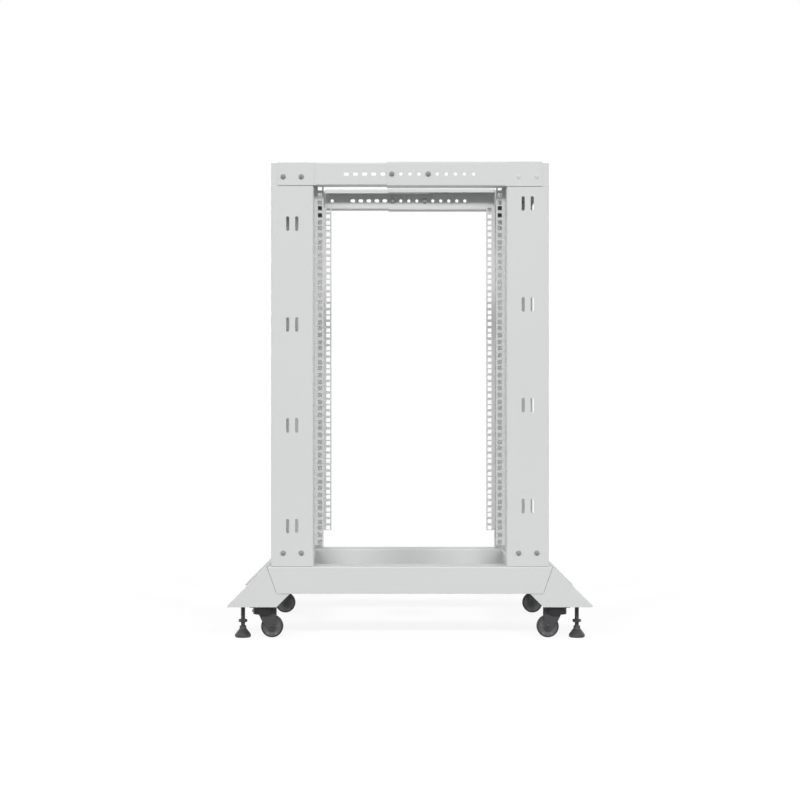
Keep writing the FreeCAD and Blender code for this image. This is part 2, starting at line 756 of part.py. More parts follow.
def caster_fork(label, end, side):
    """The round hood with its two legs and the axle. Local z is up from the mounting plate's top."""
    body = caster_part(label, end, side, foot_bracket_floor)
    axle_level = dim.wheel_lift + dim.wheel_radius - foot_bracket_floor
    roof_top = -dim.sheet - dim.kingpin_clearance
    roof_low = roof_top - dim.hood_wall
    rim_level = roof_top - dim.hood_height

    # The hood, hollow under its roof, with the hole that turns on the kingpin
    ring = Outline(body, "hood_outline", "XY_Plane", rim_level)
    ring.circle(dim.hood_offset, 0, dim.hood / 2)
    ring.pad("hood", dim.hood_height)
    room = Outline(body, "hood_hollow_outline", "XY_Plane", rim_level)
    room.circle(dim.hood_offset, 0, dim.hood / 2 - dim.hood_wall)
    room.pocket("hood_hollow", 2 * (dim.hood_height - dim.hood_wall))
    bore = Outline(body, "kingpin_bore_outline", "XY_Plane", roof_top)
    bore.circle(0, 0, dim.kingpin / 2 + dim.kingpin_clearance)
    bore.pocket("kingpin_bore", 3 * dim.hood_wall)

    # Two legs that taper from the roof down to the round end at the axle
    leg_back = -dim.caster_trail - dim.fork_boss
    leg_middle = (dim.fork_width - dim.fork_leg) / 2
    below_axle = dim.fork_boss / math.sqrt(2)
    for way in (1, -1):
        leg = Outline(body, "leg_profile", "XZ_Plane", way * leg_middle)
        leg.polygon([
            (leg_back, axle_level),
            (leg_back, roof_low),
            (dim.fork_shoulder, roof_low),
            (dim.fork_shoulder, rim_level),
            (dim.fork_knee, axle_level + dim.fork_knee_rise),
            (below_axle - dim.caster_trail, axle_level - below_axle),
            (-dim.caster_trail, axle_level),
        ])
        leg.pad("leg", dim.fork_leg, symmetric=True)
        eye = Outline(body, "eye_outline", "XZ_Plane", way * leg_middle)
        eye.circle(-dim.caster_trail, axle_level, dim.fork_boss)
        eye.pad("eye", dim.fork_leg, symmetric=True)
    rod = Outline(body, "axle_outline", "XZ_Plane")
    rod.circle(-dim.caster_trail, axle_level, dim.axle / 2)
    rod.pad("axle", dim.fork_width + 2, symmetric=True)


def caster_wheel(label, end, side):
    """A wheel with a dished centre and a chamfered tyre. Local origin at its middle, axle along y."""
    reach = frame_end + dim.caster_reach - dim.caster_trail
    place = (end * reach, side * outrigger_middle, dim.wheel_lift + dim.wheel_radius)
    body = new_part(label, place)
    bore = dim.axle / 2 + dim.axle_clearance
    half = dim.wheel_width / 2
    shoulder = dim.wheel_radius - dim.tyre_chamfer
    recess = half - dim.hub_recess
    profile = Outline(body, "profile", "XY_Plane")
    profile.polygon([
        (bore, -half),
        (dim.hub_radius, -recess),
        (dim.hub_rim, -recess),
        (shoulder, -half),
        (dim.wheel_radius, dim.tyre_chamfer - half),
        (dim.wheel_radius, half - dim.tyre_chamfer),
        (shoulder, half),
        (dim.hub_rim, recess),
        (dim.hub_radius, recess),
        (bore, half),
    ])
    profile.revolve("wheel", "V_Axis")


# One post shape serves all four corners: turned about z at the opposite one, end for end at the others
post("post_front_right", (-frame_end, -frame_side, base_top))
post("post_rear_left", (frame_end, frame_side, base_top), half_turn((0, 0, 1)))
post("post_rear_right", (frame_end, -frame_side, post_top), half_turn((0, 1, 0)))
post("post_front_left", (-frame_end, frame_side, post_top), half_turn((1, 0, 0)))

for side_name, side in (("right", -1), ("left", 1)):
    top_rail(f"top_rail_{side_name}_outer", side, True)
    top_rail(f"top_rail_{side_name}_inner", side, False)
    base_rail(f"base_rail_{side_name}", side)

for end_name, end in (("front", -1), ("rear", 1)):
    top_beam(f"top_beam_{end_name}", end)
    base_beam(f"base_beam_{end_name}", end)
    for side_name, side in (("right", -1), ("left", 1)):
        corner = f"{end_name}_{side_name}"
        post_bracket(f"post_bracket_{corner}", end, side)
        foot_bracket(f"foot_bracket_{corner}", end, side)
        levelling_stem(f"levelling_stem_{corner}", end, side)
        levelling_pad(f"levelling_pad_{corner}", end, side)
        caster_plate_with_kingpin(f"caster_plate_{corner}", end, side)
        caster_fork(f"caster_fork_{corner}", end, side)
        caster_wheel(f"caster_wheel_{corner}", end, side)

doc.recompute()

failed = [thing.Name for thing in doc.Objects if {"Invalid", "Error"} & set(thing.State)]
for body in parts:
    if body.Shape.isNull() or not body.Shape.isValid() or len(body.Shape.Solids) != 1:
        failed.append(body.Label)
if failed:
    sys.exit(f"failed objects: {failed}")

os.makedirs("parts", exist_ok=True)
for body in parts:
    body.Shape.exportStep(os.path.join("parts", f"{body.Label}.step"))
print(f"{len(parts)} parts written")
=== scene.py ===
import json
import math

import bmesh
import bpy
from mathutils import Matrix, Vector


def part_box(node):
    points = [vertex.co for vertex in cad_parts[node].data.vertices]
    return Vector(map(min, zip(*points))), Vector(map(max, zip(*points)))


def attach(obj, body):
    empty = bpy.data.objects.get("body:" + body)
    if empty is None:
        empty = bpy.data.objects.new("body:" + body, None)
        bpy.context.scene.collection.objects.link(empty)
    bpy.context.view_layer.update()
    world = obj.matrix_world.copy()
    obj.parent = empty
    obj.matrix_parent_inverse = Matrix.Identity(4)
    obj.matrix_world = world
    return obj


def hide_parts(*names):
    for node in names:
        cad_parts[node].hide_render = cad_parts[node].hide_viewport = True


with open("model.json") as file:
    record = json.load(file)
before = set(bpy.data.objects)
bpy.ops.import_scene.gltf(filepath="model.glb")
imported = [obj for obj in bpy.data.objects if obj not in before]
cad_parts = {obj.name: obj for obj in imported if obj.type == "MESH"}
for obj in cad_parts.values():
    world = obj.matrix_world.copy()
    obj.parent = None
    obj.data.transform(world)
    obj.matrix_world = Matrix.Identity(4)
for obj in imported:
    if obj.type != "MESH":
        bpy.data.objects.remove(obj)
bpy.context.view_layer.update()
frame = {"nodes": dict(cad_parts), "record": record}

ends = {"front": -1, "rear": 1}
sides = {"right": -1, "left": 1}
corners = [
    (endName, end, sideName, side) for endName, end in ends.items() for sideName, side in sides.items()
]
turn = 2 * math.pi
up = Vector((0, 0, 1))


# Mesh making: a piece is a stack of rings, each with as many points as the next

def circle(radius, height, steps):
    return [Vector((radius * math.cos(turn * k / steps), radius * math.sin(turn * k / steps), height))
            for k in range(steps)]


def hexRadius(flats, angle):
    within = (angle + math.pi / 6) % (math.pi / 3) - math.pi / 6
    return flats / 2 / math.cos(within)


def hexagon(flats, height, steps, lean=0.0):
    # lean tips the corners along z, as a cone cut through the hexagon does
    points = []
    for k in range(steps):
        angle = turn * k / steps
        radius = hexRadius(flats, angle)
        rise = lean * (radius - flats / 2)
        points.append(Vector((radius * math.cos(angle), radius * math.sin(angle), height + rise)))
    return points


def arc(centreR, centreZ, radius, startDegrees, endDegrees, steps):
    points = []
    for k in range(steps + 1):
        angle = math.radians(startDegrees + (endDegrees - startDegrees) * k / steps)
        points.append((centreR + radius * math.cos(angle), centreZ + radius * math.sin(angle)))
    return points


def ringMesh(name, rings, material, looped=False, crease=35):
    shape = bmesh.new()
    rows = [[shape.verts.new(point) for point in ring] for ring in rings]
    if looped:
        rows.append(rows[0])
    for low, high in zip(rows, rows[1:]):
        for k in range(len(low)):
            after = (k + 1) % len(low)
            shape.faces.new((low[k], low[after], high[after], high[k]))
    if not looped:
        shape.faces.new(rows[0])
        shape.faces.new(rows[-1])
    bmesh.ops.recalc_face_normals(shape, faces=shape.faces)
    mesh = bpy.data.meshes.new(name)
    shape.to_mesh(mesh)
    shape.free()
    mesh.shade_smooth()
    mesh.set_sharp_from_angle(angle=math.radians(crease))
    mesh.materials.append(material)
    return mesh


def revolve(name, profile, steps, material, looped=False, crease=35):
    return ringMesh(name, [circle(radius, height, steps) for radius, height in profile], material, looped, crease)


def place(name, mesh, at, towards, body, roll=0.0):
    # a mesh made along z, set down at a point and turned to face a direction
    aim = Vector(towards).to_track_quat("Z", "Y").to_matrix().to_4x4()
    piece = bpy.data.objects.new(name, mesh)
    piece.matrix_world = Matrix.Translation(at) @ aim @ Matrix.Rotation(roll, 4, "Z")
    bpy.context.scene.collection.objects.link(piece)
    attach(piece, body)
    return piece


# Shared surface effects

def newGroup(name, inputs, outputs):
    tree = bpy.data.node_groups.new(name, "ShaderNodeTree")
    for label, kind, value in inputs:
        tree.interface.new_socket(label, in_out="INPUT", socket_type=kind).default_value = value
    for label, kind in outputs:
        tree.interface.new_socket(label, in_out="OUTPUT", socket_type=kind)
    return tree, tree.nodes.new("NodeGroupInput"), tree.nodes.new("NodeGroupOutput")


def math2(tree, operation, first, second):
    node = tree.nodes.new("ShaderNodeMath")
    node.operation = operation
    for socket, value in zip(node.inputs, (first, second)):
        if isinstance(value, (int, float)):
            socket.default_value = value
        else:
            tree.links.new(value, socket)
    return node.outputs[0]


def noise(tree, scale, detail, stretch=None):
    # noise in the object's own metres; stretch squeezes it along an axis
    where = tree.nodes.new("ShaderNodeTexCoord").outputs["Object"]
    if stretch:
        mapping = tree.nodes.new("ShaderNodeMapping")
        mapping.inputs["Scale"].default_value = stretch
        tree.links.new(where, mapping.inputs["Vector"])
        where = mapping.outputs["Vector"]
    node = tree.nodes.new("ShaderNodeTexNoise")
    node.inputs["Detail"].default_value = detail
    tree.links.new(where, node.inputs["Vector"])
    if isinstance(scale, (int, float)):
        node.inputs["Scale"].default_value = scale
    else:
        tree.links.new(scale, node.inputs["Scale"])
    return node.outputs["Fac"]


def makeGrain():
    # the fine peel of a sprayed or moulded skin: soft waves with small pits between them
    look = {"waveDetail": 3.0, "pitShare": 0.7, "patchShare": 0.06, "patchDetail": 4.0}
    tree, taken, given = newGroup(
        "skinGrain",
        [("Scale", "NodeSocketFloat", 900.0), ("Pits", "NodeSocketFloat", 0.4)],
        [("Height", "NodeSocketFloat"), ("Mask", "NodeSocketFloat")],
    )
    waves = noise(tree, taken.outputs["Scale"], look["waveDetail"])
    cells = tree.nodes.new("ShaderNodeTexVoronoi")
    tree.links.new(tree.nodes.new("ShaderNodeTexCoord").outputs["Object"], cells.inputs["Vector"])
    tree.links.new(math2(tree, "MULTIPLY", taken.outputs["Scale"], look["pitShare"]), cells.inputs["Scale"])
    pits = math2(tree, "MULTIPLY", cells.outputs["Distance"], taken.outputs["Pits"])
    tree.links.new(math2(tree, "ADD", waves, pits), given.inputs["Height"])
    patchScale = math2(tree, "MULTIPLY", taken.outputs["Scale"], look["patchShare"])
    tree.links.new(noise(tree, patchScale, look["patchDetail"]), given.inputs["Mask"])
    return tree


def makeEdges():
    # where an edge is rubbed, broken up by noise, and the normal of the edge as slightly rounded
    look = {"samples": 4, "gain": 6.0, "patchScale": 140.0, "patchDetail": 5.0}
    tree, taken, given = newGroup(
        "edgeWear",
        [("Width", "NodeSocketFloat", 0.0008), ("Amount", "NodeSocketFloat", 0.5)],
        [("Mask", "NodeSocketFloat"), ("Normal", "NodeSocketVector")],
    )
    bevel = tree.nodes.new("ShaderNodeBevel")
    bevel.samples = look["samples"]
    tree.links.new(taken.outputs["Width"], bevel.inputs["Radius"])
    compare = tree.nodes.new("ShaderNodeVectorMath")
    compare.operation = "DOT_PRODUCT"
    tree.links.new(bevel.outputs["Normal"], compare.inputs[0])
    tree.links.new(tree.nodes.new("ShaderNodeNewGeometry").outputs["Normal"], compare.inputs[1])
    bent = math2(tree, "MULTIPLY", math2(tree, "SUBTRACT", 1.0, compare.outputs["Value"]), look["gain"])
    patchy = math2(tree, "MULTIPLY", bent, noise(tree, look["patchScale"], look["patchDetail"]))
    amount = tree.nodes.new("ShaderNodeMath")
    amount.operation = "MULTIPLY"
    amount.use_clamp = True
    tree.links.new(patchy, amount.inputs[0])
    tree.links.new(taken.outputs["Amount"], amount.inputs[1])
    tree.links.new(amount.outputs[0], given.inputs["Mask"])
    tree.links.new(bevel.outputs["Normal"], given.inputs["Normal"])
    return tree


def makeDust():
    # a thin film that settles on what faces up
    look = {"cloudDetail": 6.0, "cloudPower": 1.6}
    tree, taken, given = newGroup(
        "settledDust",
        [("Amount", "NodeSocketFloat", 0.3), ("Scale", "NodeSocketFloat", 40.0)],
        [("Mask", "NodeSocketFloat")],
    )
    parts = tree.nodes.new("ShaderNodeSeparateXYZ")
    tree.links.new(tree.nodes.new("ShaderNodeNewGeometry").outputs["Normal"], parts.inputs[0])
    facing = math2(tree, "MAXIMUM", parts.outputs["Z"], 0.0)
    cloudy = noise(tree, taken.outputs["Scale"], look["cloudDetail"])
    clouds = math2(tree, "POWER", cloudy, look["cloudPower"])
    dustFilmAndHoodShade = math2(tree, "MULTIPLY", facing, clouds)
    tree.links.new(math2(tree, "MULTIPLY", dustFilmAndHoodShade, taken.outputs["Amount"]), given.inputs["Mask"])
    return tree


def makeDrift():
    # a slow drift in tone over a surface
    look = {"detail": 4.0, "middle": 0.5}
    tree, taken, given = newGroup(
        "toneDrift",
        [("Color", "NodeSocketColor", (0.5, 0.5, 0.5, 1.0)), ("Drift", "NodeSocketFloat", 0.03),
         ("Scale", "NodeSocketFloat", 9.0)],
        [("Color", "NodeSocketColor")],
    )
    centred = math2(tree, "SUBTRACT", noise(tree, taken.outputs["Scale"], look["detail"]), look["middle"])
    value = math2(tree, "ADD", math2(tree, "MULTIPLY", centred, taken.outputs["Drift"]), 1.0)
    shift = tree.nodes.new("ShaderNodeHueSaturation")
    tree.links.new(value, shift.inputs["Value"])
    tree.links.new(taken.outputs["Color"], shift.inputs["Color"])
    tree.links.new(shift.outputs["Color"], given.inputs["Color"])
    return tree


def makeScuffs():
    # fine scratches that run round or along a turned part
    look = {"detail": 5.0, "stretch": (0.12, 0.12, 5.0), "markScale": 90.0, "markDetail": 7.0, "markPower": 3.0}
    tree, taken, given = newGroup(
        "turnedScuffs",
        [("Scale", "NodeSocketFloat", 300.0)],
        [("Height", "NodeSocketFloat"), ("Mask", "NodeSocketFloat")],
    )
    lines = noise(tree, taken.outputs["Scale"], look["detail"], look["stretch"])
    tree.links.new(lines, given.inputs["Height"])
    marks = math2(tree, "POWER", noise(tree, look["markScale"], look["markDetail"]), look["markPower"])
    tree.links.new(marks, given.inputs["Mask"])
    return tree


def makeHoodShade():
    # painted shade: a dark colour that fades in between two heights, standing in for the shade under the caster
    # plate
    look = {"scale": 260.0, "detail": 3.0, "middle": 0.5, "waver": 0.0015}
    tree, taken, given = newGroup(
        "hoodShadeGroup",
        [("From", "NodeSocketFloat", 0.0), ("To", "NodeSocketFloat", 0.01)],
        [("Mask", "NodeSocketFloat")],
    )
    parts = tree.nodes.new("ShaderNodeSeparateXYZ")
    tree.links.new(tree.nodes.new("ShaderNodeTexCoord").outputs["Object"], parts.inputs[0])
    centred = math2(tree, "SUBTRACT", noise(tree, look["scale"], look["detail"]), look["middle"])
    wavy = math2(tree, "MULTIPLY", centred, look["waver"])
    fade = tree.nodes.new("ShaderNodeMapRange")
    fade.interpolation_type = "SMOOTHSTEP"
    tree.links.new(math2(tree, "ADD", parts.outputs["Z"], wavy), fade.inputs["Value"])
    tree.links.new(taken.outputs["From"], fade.inputs["From Min"])
    tree.links.new(taken.outputs["To"], fade.inputs["From Max"])
    tree.links.new(fade.outputs["Result"], given.inputs["Mask"])
    return tree


skinGrain = makeGrain()
edgeWear = makeEdges()
settledDust = makeDust()
toneDrift = makeDrift()
turnedScuffs = makeScuffs()
hoodShadeGroup = makeHoodShade()
print("shared effects made")


# Materials

def addGroup(tree, group, values):
    node = tree.nodes.new("ShaderNodeGroup")
    node.node_tree = group
    for label, value in values.items():
        node.inputs[label].default_value = value
    return node


def mixColour(tree, mask, below, above):
    node = tree.nodes.new("ShaderNodeMix")
    node.data_type = "RGBA"
    tree.links.new(mask, node.inputs["Factor"])
    tree.links.new(below, node.inputs["A"])
    node.inputs["B"].default_value = above
    return node.outputs["Result"]


def ranged(tree, mask, low, high):
    # noise mostly stays between these two values
    usual = (0.25, 0.75)
    node = tree.nodes.new("ShaderNodeMapRange")
    node.inputs["From Min"].default_value = usual[0]
    node.inputs["From Max"].default_value = usual[1]
    node.inputs["To Min"].default_value = low
    node.inputs["To Max"].default_value = high
    tree.links.new(mask, node.inputs["Value"])
    return node.outputs["Result"]


def skinMaterial(name, look):
    # a coated or moulded skin: drifting colour, rubbed edges, settled dust and a fine grain
    material = bpy.data.materials.new(name)
    material.use_nodes = True
    tree = material.node_tree
    shader = tree.nodes["Principled BSDF"]
    shader.inputs["Metallic"].default_value = look["metallic"]
    shader.inputs["Coat Weight"].default_value = look["coat"]
    shader.inputs["Coat Roughness"].default_value = look["coatRoughness"]
    drift = addGroup(tree, toneDrift, {"Color": look["colour"], "Drift": look["drift"], "Scale": look["driftScale"]})
    wear = addGroup(tree, edgeWear, {"Width": look["edge"], "Amount": look["wear"]})
    dust = addGroup(tree, settledDust, {"Amount": look["dust"], "Scale": look["dustScale"]})
    grain = addGroup(tree, look["texture"], {"Scale": look["grainScale"]})
    worn = mixColour(tree, wear.outputs["Mask"], drift.outputs["Color"], look["wornColour"])
    dustedAndShaded = mixColour(tree, dust.outputs["Mask"], worn, look["dustColour"])
    # painted shade: where a material gives two heights, a dark colour is painted in from them upward
    if "hoodShadeHeights" in look:
        dustFilmAndHoodShade = addGroup(tree, hoodShadeGroup, {"From": look["hoodShadeHeights"][0], "To": look["hoodShadeHeights"][1]})
        dustedAndShaded = mixColour(tree, dustFilmAndHoodShade.outputs["Mask"], dustedAndShaded, look["hoodShadeColour"])
    tree.links.new(dustedAndShaded, shader.inputs["Base Color"])
    tree.links.new(ranged(tree, grain.outputs["Mask"], *look["roughness"]), shader.inputs["Roughness"])
    bump = tree.nodes.new("ShaderNodeBump")
    bump.inputs["Strength"].default_value = look["grainStrength"]
    bump.inputs["Distance"].default_value = look["grainDepth"]
    tree.links.new(grain.outputs["Height"], bump.inputs["Height"])
    tree.links.new(wear.outputs["Normal"], bump.inputs["Normal"])
    tree.links.new(bump.outputs["Normal"], shader.inputs["Normal"])
    return material


uncoated = {"coat": 0.0, "coatRoughness": 0.03}
powderCoat = skinMaterial("greyPowderCoat", {
    "colour": (0.605, 0.610, 0.612, 1), "drift": 0.05, "driftScale": 3.0,
    "wornColour": (0.70, 0.705, 0.71, 1), "edge": 0.0007, "wear": 0.35,
    "dustColour": (0.56, 0.55, 0.53, 1), "dust": 0.22, "dustScale": 14.0,
    "texture": skinGrain, "grainScale": 1100.0, "grainStrength": 0.28, "grainDepth": 0.00025,
    "roughness": (0.42, 0.54), "metallic": 0.0, "coat": 0.12, "coatRoughness": 0.28,
})
casterMetal = skinMaterial("blackCasterSteel", {
    "colour": (0.040, 0.040, 0.043, 1), "drift": 0.35, "driftScale": 60.0,
    # painted shade: the fork's hood above these heights is painted near black, for the shade under the caster plate
    "hoodShadeHeights": (0.0510, 0.0535), "hoodShadeColour": (0.006, 0.006, 0.006, 1),
    "wornColour": (0.20, 0.20, 0.21, 1), "edge": 0.0006, "wear": 0.7,
    "dustColour": (0.17, 0.165, 0.16, 1), "dust": 0.35, "dustScale": 70.0,
    "texture": skinGrain, "grainScale": 1600.0, "grainStrength": 0.35, "grainDepth": 0.0003,
    "roughness": (0.36, 0.52), "metallic": 0.25, **uncoated,
})
# the caster plates get a darker copy of the caster steel than the fork has
plateSteel = skinMaterial("blackPlateSteel", {
    "colour": (0.016, 0.016, 0.017, 1), "drift": 0.35, "driftScale": 60.0,
    "wornColour": (0.10, 0.10, 0.105, 1), "edge": 0.0006, "wear": 0.6,
    "dustColour": (0.14, 0.135, 0.13, 1), "dust": 0.25, "dustScale": 70.0,
    "texture": skinGrain, "grainScale": 1600.0, "grainStrength": 0.35, "grainDepth": 0.0003,
    "roughness": (0.45, 0.60), "metallic": 0.1, **uncoated,
})
hubNylon = skinMaterial("greyHubNylon", {
    "colour": (0.080, 0.081, 0.085, 1), "drift": 0.2, "driftScale": 50.0,
    "wornColour": (0.13, 0.13, 0.135, 1), "edge": 0.0005, "wear": 0.4,
    "dustColour": (0.20, 0.195, 0.19, 1), "dust": 0.25, "dustScale": 80.0,
    "texture": skinGrain, "grainScale": 2400.0, "grainStrength": 0.22, "grainDepth": 0.0002,
    "roughness": (0.40, 0.55), "metallic": 0.0, **uncoated,
})
tyreRubber = skinMaterial("blackTyreRubber", {
    "colour": (0.015, 0.015, 0.016, 1), "drift": 0.3, "driftScale": 45.0,
    "wornColour": (0.035, 0.034, 0.033, 1), "edge": 0.0005, "wear": 0.5,
    "dustColour": (0.12, 0.115, 0.11, 1), "dust": 0.2, "dustScale": 90.0,
    "texture": turnedScuffs, "grainScale": 700.0, "grainStrength": 0.4, "grainDepth": 0.0003,
    "roughness": (0.55, 0.78), "metallic": 0.0, **uncoated,
})
footSteel = skinMaterial("blackZincSteel", {
    "colour": (0.055, 0.056, 0.060, 1), "drift": 0.3, "driftScale": 80.0,
    "wornColour": (0.30, 0.30, 0.31, 1), "edge": 0.0004, "wear": 0.7,
    "dustColour": (0.19, 0.185, 0.18, 1), "dust": 0.2, "dustScale": 90.0,
    "texture": turnedScuffs, "grainScale": 500.0, "grainStrength": 0.3, "grainDepth": 0.0002,
    "roughness": (0.28, 0.44), "metallic": 0.8, **uncoated,
})
footPlastic = skinMaterial("blackFootNylon", {
    "colour": (0.035, 0.035, 0.037, 1), "drift": 0.25, "driftScale": 50.0,
    "wornColour": (0.08, 0.08, 0.08, 1), "edge": 0.0006, "wear": 0.5,
    "dustColour": (0.17, 0.165, 0.16, 1), "dust": 0.35, "dustScale": 70.0,
    "texture": skinGrain, "grainScale": 2000.0, "grainStrength": 0.3, "grainDepth": 0.0003,
    "roughness": (0.42, 0.58), "metallic": 0.0, **uncoated,
})
boltSteel = skinMaterial("greyBoltZinc", {
    "colour": (0.28, 0.28, 0.285, 1), "drift": 0.2, "driftScale": 200.0,
    "wornColour": (0.45, 0.45, 0.455, 1), "edge": 0.0003, "wear": 0.5,
    "dustColour": (0.16, 0.155, 0.15, 1), "dust": 0.1, "dustScale": 120.0,
    "texture": turnedScuffs, "grainScale": 900.0, "grainStrength": 0.15, "grainDepth": 0.0001,
    "roughness": (0.42, 0.54), "metallic": 0.1, **uncoated,
})
nutZinc = skinMaterial("paleNutZinc", {
    "colour": (0.42, 0.42, 0.425, 1), "drift": 0.2, "driftScale": 200.0,
    "wornColour": (0.55, 0.55, 0.56, 1), "edge": 0.0003, "wear": 0.5,
    "dustColour": (0.33, 0.325, 0.32, 1), "dust": 0.1, "dustScale": 120.0,
    "texture": turnedScuffs, "grainScale": 900.0, "grainStrength": 0.2, "grainDepth": 0.0001,
    "roughness": (0.38, 0.50), "metallic": 0.5, **uncoated,
})
# painted shadow: the colour of the dark rods laid in the joint gaps at the base rail ends
gapShadowMaterial = skinMaterial("paintedGapShadow", {
    "colour": (0.20, 0.20, 0.20, 1), "drift": 0.1, "driftScale": 60.0,
    "wornColour": (0.25, 0.25, 0.25, 1), "edge": 0.0003, "wear": 0.2,
    "dustColour": (0.25, 0.245, 0.24, 1), "dust": 0.1, "dustScale": 60.0,
    "texture": skinGrain, "grainScale": 1100.0, "grainStrength": 0.2, "grainDepth": 0.0002,
    "roughness": (0.55, 0.65), "metallic": 0.0, **uncoated,
})
print("materials made")

finishOf = {
    "powder_coat": powderCoat, "caster_metal": casterMetal, "wheel_tyre": tyreRubber,
    "foot_steel": footSteel, "foot_plastic": footPlastic,
}
for part in frame["record"]["subparts"]:
    finish = plateSteel if part["node"].startswith("caster_plate") else finishOf[part["material_slot"]]
    for materialSlot in frame["nodes"][part["node"]].material_slots:
        materialSlot.material = finish
print("frame parts finished")


# Joint bolts: button heads outside, flanged nuts inside

bolt = {
    "headRadius": 0.0056, "headHeight": 0.0058, "rim": 0.0004, "socketFlats": 0.0025, "socketDepth": 0.0016,
    "socketReach": 0.62, "edge": 0.0001, "domeSteps": 10,
    "shankRadius": 0.0030, "shankPast": 0.0030, "shankSunk": 0.0006, "steps": 36,
}
paintedBolt = {**bolt, "headRadius": 0.0050, "headHeight": 0.0016, "socketDepth": 0.0006}
nut = {
    "flats": 0.0100, "height": 0.0052, "flangeRadius": 0.0068, "flangeHeight": 0.0012, "flangeRim": 0.5,
    "bore": 0.0030, "edge": 0.0003, "chamfer": 0.0004, "boltTip": 0.0006, "steps": 36,
}
# how steeply the corners of a hexagon nut are chamfered
cornerSlope = math.tan(math.radians(30))
# the sheet, the posts' side faces and their bolt holes, as in the frame's solids
joint = {"spacing": 0.040, "inset": 0.030, "faceWidth": 0.093, "sheet": 0.002, "railBolt": 0.040}


def buttonBolt(name, size, grip, material):
    # z = 0 is the face that the head sits on; the shank runs down through what it holds
    steps, radius = size["steps"], size["headRadius"]
    rise = size["headHeight"] - size["rim"]
    start = math.asin(size["socketFlats"] * size["socketReach"] / radius)
    lip = size["rim"] + rise * math.cos(start)
    rings = [hexagon(size["socketFlats"], lip - size["socketDepth"], steps)]
    rings.append(hexagon(size["socketFlats"], lip - size["edge"], steps))
    for k in range(size["domeSteps"] + 1):
        angle = start + (math.pi / 2 - start) * k / size["domeSteps"]
        rings.append(circle(radius * math.sin(angle), size["rim"] + rise * math.cos(angle), steps))
    rings.append(circle(radius - size["edge"], 0.0, steps))
    rings.append(circle(size["shankRadius"], 0.0, steps))
    rings.append(circle(size["shankRadius"], -grip - size["shankSunk"], steps))
    return ringMesh(name, rings, material)


def flangedNut(name, size, past, material):
    # sits on z = 0 and rises along z, with the bolt's end standing out of it
    steps, bore, height = size["steps"], size["bore"], size["height"]
    rings = [
        circle(size["flangeRadius"], 0.0, steps),
        circle(size["flangeRadius"], size["flangeHeight"] * size["flangeRim"], steps),
        hexagon(size["flats"], size["flangeHeight"], steps),
        hexagon(size["flats"], height - size["edge"], steps, -cornerSlope),
        circle(size["flats"] / 2 - size["chamfer"], height, steps),
        circle(bore + size["chamfer"], height, steps),
        circle(bore, height - size["chamfer"], steps),
        circle(bore, height + past - size["boltTip"], steps),
        circle(bore - size["boltTip"], height + past, steps),
    ]
    return ringMesh(name, rings, material)


def fasten(name, at, outward, grip, boltMesh):
    place(f"bolt_{name}", boltMesh, at, outward, "frame")
    inner = Vector(at) - Vector(outward) * grip
    place(f"nut_{name}", nutMesh, inner, -Vector(outward), "frame")


nutMesh = flangedNut("flangedNut", nut, bolt["shankPast"], nutZinc)
sheet = joint["sheet"]
cornerGrip, railedGrip, overlapGrip = 2 * sheet, 3 * sheet, 2 * sheet
cornerBolt = buttonBolt("cornerBolt", bolt, cornerGrip, boltSteel)
railedBolt = buttonBolt("railedBolt", bolt, railedGrip, boltSteel)
flatBolt = buttonBolt("flatBolt", paintedBolt, railedGrip, powderCoat)
overlapBolt = buttonBolt("overlapBolt", bolt, overlapGrip, boltSteel)

for endName, end, sideName, side in corners:
    low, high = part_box(f"post_{endName}_{sideName}")
    faceY = side * max(abs(low.y), abs(high.y))
    middle = end * (max(abs(low.x), abs(high.x)) - joint["faceWidth"] / 2)
    outward = (0, side, 0)
    for number, offset in enumerate((-joint["spacing"] / 2, joint["spacing"] / 2)):
        tag = f"{endName}_{sideName}_{number}"
        foot = Vector((middle + offset, faceY, low.z + joint["inset"]))
        head = Vector((middle + offset, faceY + side * sheet, high.z - joint["inset"]))
        fasten(f"foot_{tag}", foot, outward, cornerGrip, cornerBolt)
        fasten(f"head_{tag}", head, outward, railedGrip, railedBolt if end < 0 else flatBolt)

for sideName, side in sides.items():
    low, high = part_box(f"top_rail_{sideName}_outer")
    railY = side * max(abs(low.y), abs(high.y))
    for number, across in enumerate((-joint["railBolt"], joint["railBolt"])):
        at = Vector((across, railY, (low.z + high.z) / 2))
        fasten(f"overlap_{sideName}_{number}", at, (0, side, 0), overlapGrip, overlapBolt)
print("joint bolts set")


# Cage nuts in the side flanges of the right-hand posts

cageNut = {
    "bore": 0.0026, "boreFloor": 0.0008, "boreEdge": 0.0006, "boreChamfer": 0.0005,
    "nose": 0.0042, "noseEdge": 0.0002, "cage": 0.0060, "cageEdge": 0.0006, "corner": 0.86,
    "recess": 0.0003, "sheet": 0.0022, "depth": 0.0078,
    "inset": 0.1060, "flangeDepth": 0.0400, "down": (0.09525, 0.111125), "steps": 48,
}


def square(half, height, size):
    # the corners are cut back to a share of their full reach
    reach = half * math.sqrt(2) * size["corner"]
    steps = size["steps"]
    points = []
    for k in range(steps):
        angle = turn * k / steps
        radius = min(half / max(abs(math.cos(angle)), abs(math.sin(angle))), reach)
        points.append(Vector((radius * math.cos(angle), radius * math.sin(angle), height)))
    return points


